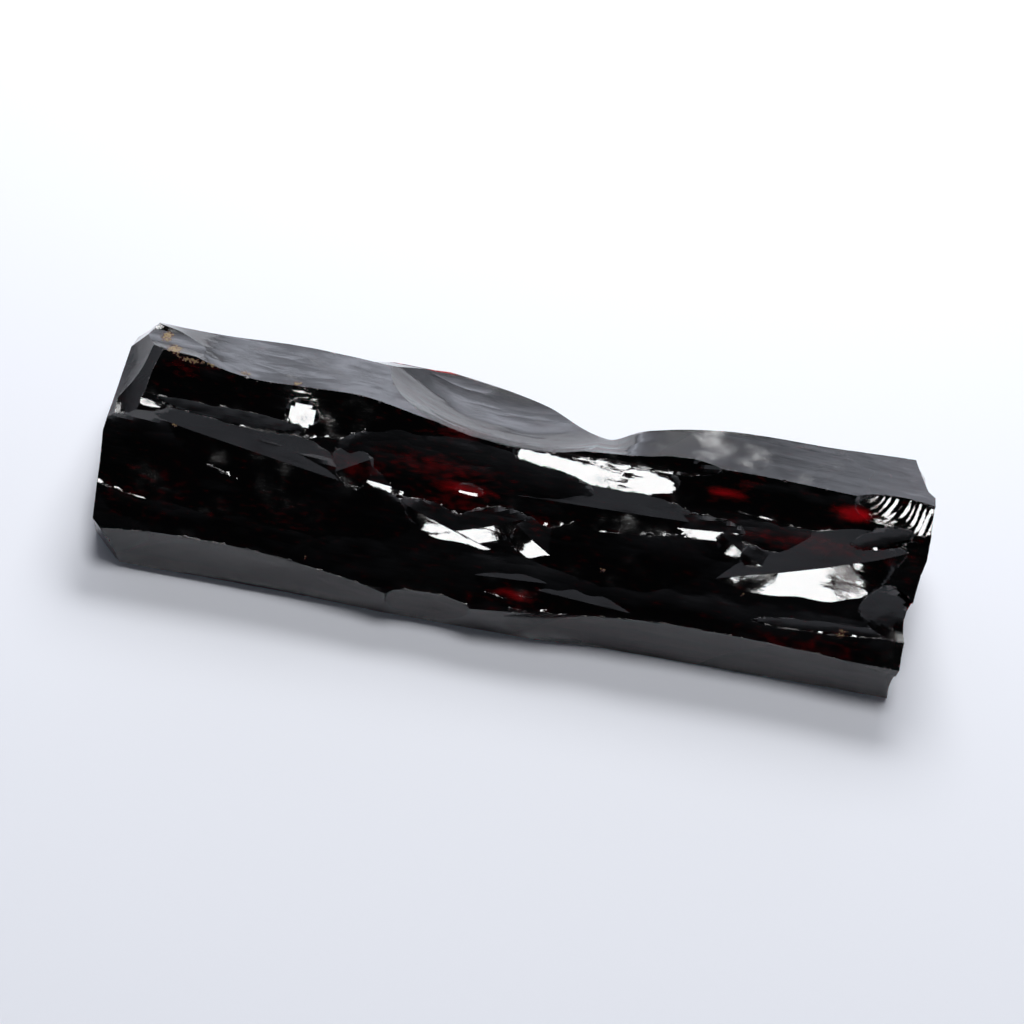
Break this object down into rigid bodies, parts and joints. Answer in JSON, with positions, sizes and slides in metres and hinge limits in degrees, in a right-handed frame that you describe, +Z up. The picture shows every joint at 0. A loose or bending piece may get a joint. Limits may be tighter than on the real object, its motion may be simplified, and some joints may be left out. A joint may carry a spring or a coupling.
{
  "type": "rough ruby crystal",
  "caption": "Long chunk of dark red, glassy ruby rough with shell-shaped fracture scars, a scooped-out top edge and a flat underside.",
  "frame": {"origin": "centre of the bounding box at the flat underside", "axes": "+X along the stone towards the end with the chipped corner, +Y away from the broad scarred front face, +Z up from the flat underside"},
  "size_m": [0.071, 0.023, 0.0143],
  "materials": {
    "dark_ruby": "glassy broken surfaces"
  },
  "bodies": {
    "root": {"ruby": "dark_ruby"}
  },
  "joints": []
}
